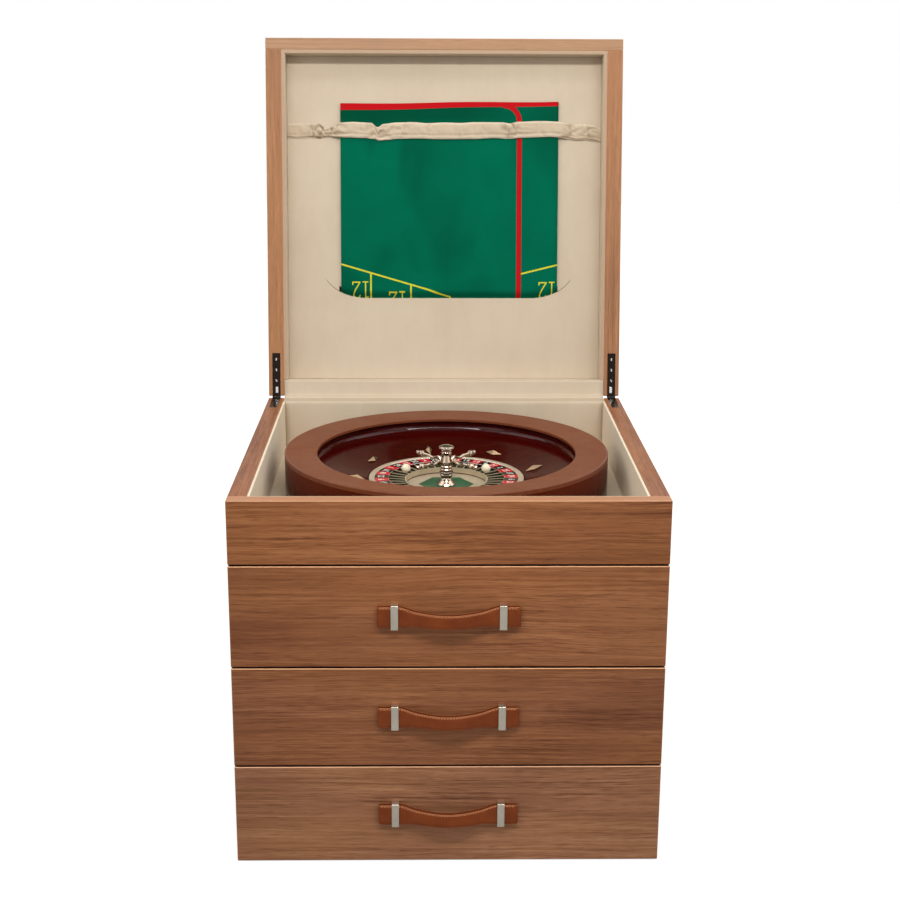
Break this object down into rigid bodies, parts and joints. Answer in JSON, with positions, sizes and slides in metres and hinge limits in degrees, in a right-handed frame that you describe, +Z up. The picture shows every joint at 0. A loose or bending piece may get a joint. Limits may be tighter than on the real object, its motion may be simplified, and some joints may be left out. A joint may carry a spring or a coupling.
{
  "type": "roulette set case",
  "caption": "Veneered cabinet with a roulette wheel in a lined tray, a hinged lid that stores the layout cloth, and drawers with leather strap handles.",
  "frame": {"origin": "centre of the underside of the case, on the surface that it stands on", "axes": "+Z up, -Y the front from which the drawers are pulled, +X to the right of a person in front"},
  "size_m": [0.5, 0.646, 0.9447],
  "materials": {
    "walnut": "satin lacquered walnut veneer",
    "birch": "matt plywood and hardwood",
    "suede": "cream suede cloth",
    "gathered_suede": "gathered cream elastic",
    "felt": "green felt",
    "tan_leather": "waxed tan leather",
    "satin_steel": "satin",
    "dark_steel": "dark satin",
    "polished_steel": "polished",
    "chrome": "polished",
    "bronze": "turned",
    "champagne_metal": "satin champagne",
    "mahogany": "high gloss lacquered mahogany",
    "rim_wood": "matt brown lacquer",
    "red_enamel": "gloss",
    "black_enamel": "gloss",
    "green_enamel": "gloss",
    "ivory_plastic": "polished",
    "layout_cloth": "printed baize"
  },
  "bodies": {
    "case": {"left_side": "walnut", "right_side": "walnut", "back_panel": "walnut", "base_panel": "birch", "drawer_dividers": "birch", "tray_front": "walnut", "tray_floor": "birch", "tray_lining": "suede", "tray_floor_lining": "suede", "base_felt": "felt", "drawer_runners": "birch", "case_hinge_leaves": "dark_steel", "hinge_pins": "polished_steel", "case_hinge_screws": "dark_steel", "hinge_cover_case": "suede"},
    "lid": {"lid_front_rail": "walnut", "lid_rear_rail": "walnut", "lid_side_rails": "walnut", "lid_top_panel": "walnut", "lid_lip": "suede", "lid_lining_panel": "suede", "lining_battens": "birch", "lid_hinge_leaves": "dark_steel", "lid_hinge_screws": "dark_steel", "hinge_cover_lid": "suede", "elastic_strap": "gathered_suede", "layout_cloth": "layout_cloth"},
    "wheel": {"wheel_rim": "rim_wood", "wheel_bowl": "mahogany", "wheel_apron": "mahogany", "wheel_base": "birch", "deflectors": "chrome", "spindle": "polished_steel"},
    "rotor": {"rotor_disc": "mahogany", "rotor_bush": "bronze", "rotor_rim": "champagne_metal", "red_numbers": "red_enamel", "black_numbers": "black_enamel", "green_zero": "green_enamel", "pocket_ring": "champagne_metal", "rotor_plate": "champagne_metal", "rotor_inlay": "green_enamel", "turret_column": "chrome", "turret_arms": "chrome", "roulette_balls": "ivory_plastic"},
    "drawer_1": {"drawer_1_front": "walnut", "drawer_1_box": "birch", "drawer_1_lining": "suede", "drawer_1_handle": "tan_leather", "drawer_1_brackets": "satin_steel"},
    "drawer_2": {"drawer_2_front": "walnut", "drawer_2_box": "birch", "drawer_2_lining": "suede", "drawer_2_handle": "tan_leather", "drawer_2_brackets": "satin_steel"},
    "drawer_3": {"drawer_3_front": "walnut", "drawer_3_box": "birch", "drawer_3_lining": "suede", "drawer_3_handle": "tan_leather", "drawer_3_brackets": "satin_steel"}
  },
  "joints": [
    {"name": "lid_hinge", "type": "hinge", "parent": "case", "child": "lid", "pos_m": [0, 0.252, 0.44925], "axis": [-1, 0, 0], "range_deg": [-99.12, 0]},
    {"name": "drawer_1_slide", "type": "slide", "parent": "case", "child": "drawer_1", "axis": [0, -1, 0], "range_m": [0, 0.3]},
    {"name": "drawer_2_slide", "type": "slide", "parent": "case", "child": "drawer_2", "axis": [0, -1, 0], "range_m": [0, 0.3]},
    {"name": "drawer_3_slide", "type": "slide", "parent": "case", "child": "drawer_3", "axis": [0, -1, 0], "range_m": [0, 0.3]},
    {"name": "wheel_lift", "type": "slide", "parent": "case", "child": "wheel", "axis": [0, 0, 1], "range_m": [0, 0.12]},
    {"name": "rotor_spin", "type": "hinge", "parent": "wheel", "child": "rotor", "pos_m": [0, 0, 0.4], "axis": [0, 0, 1], "continuous": true}
  ]
}
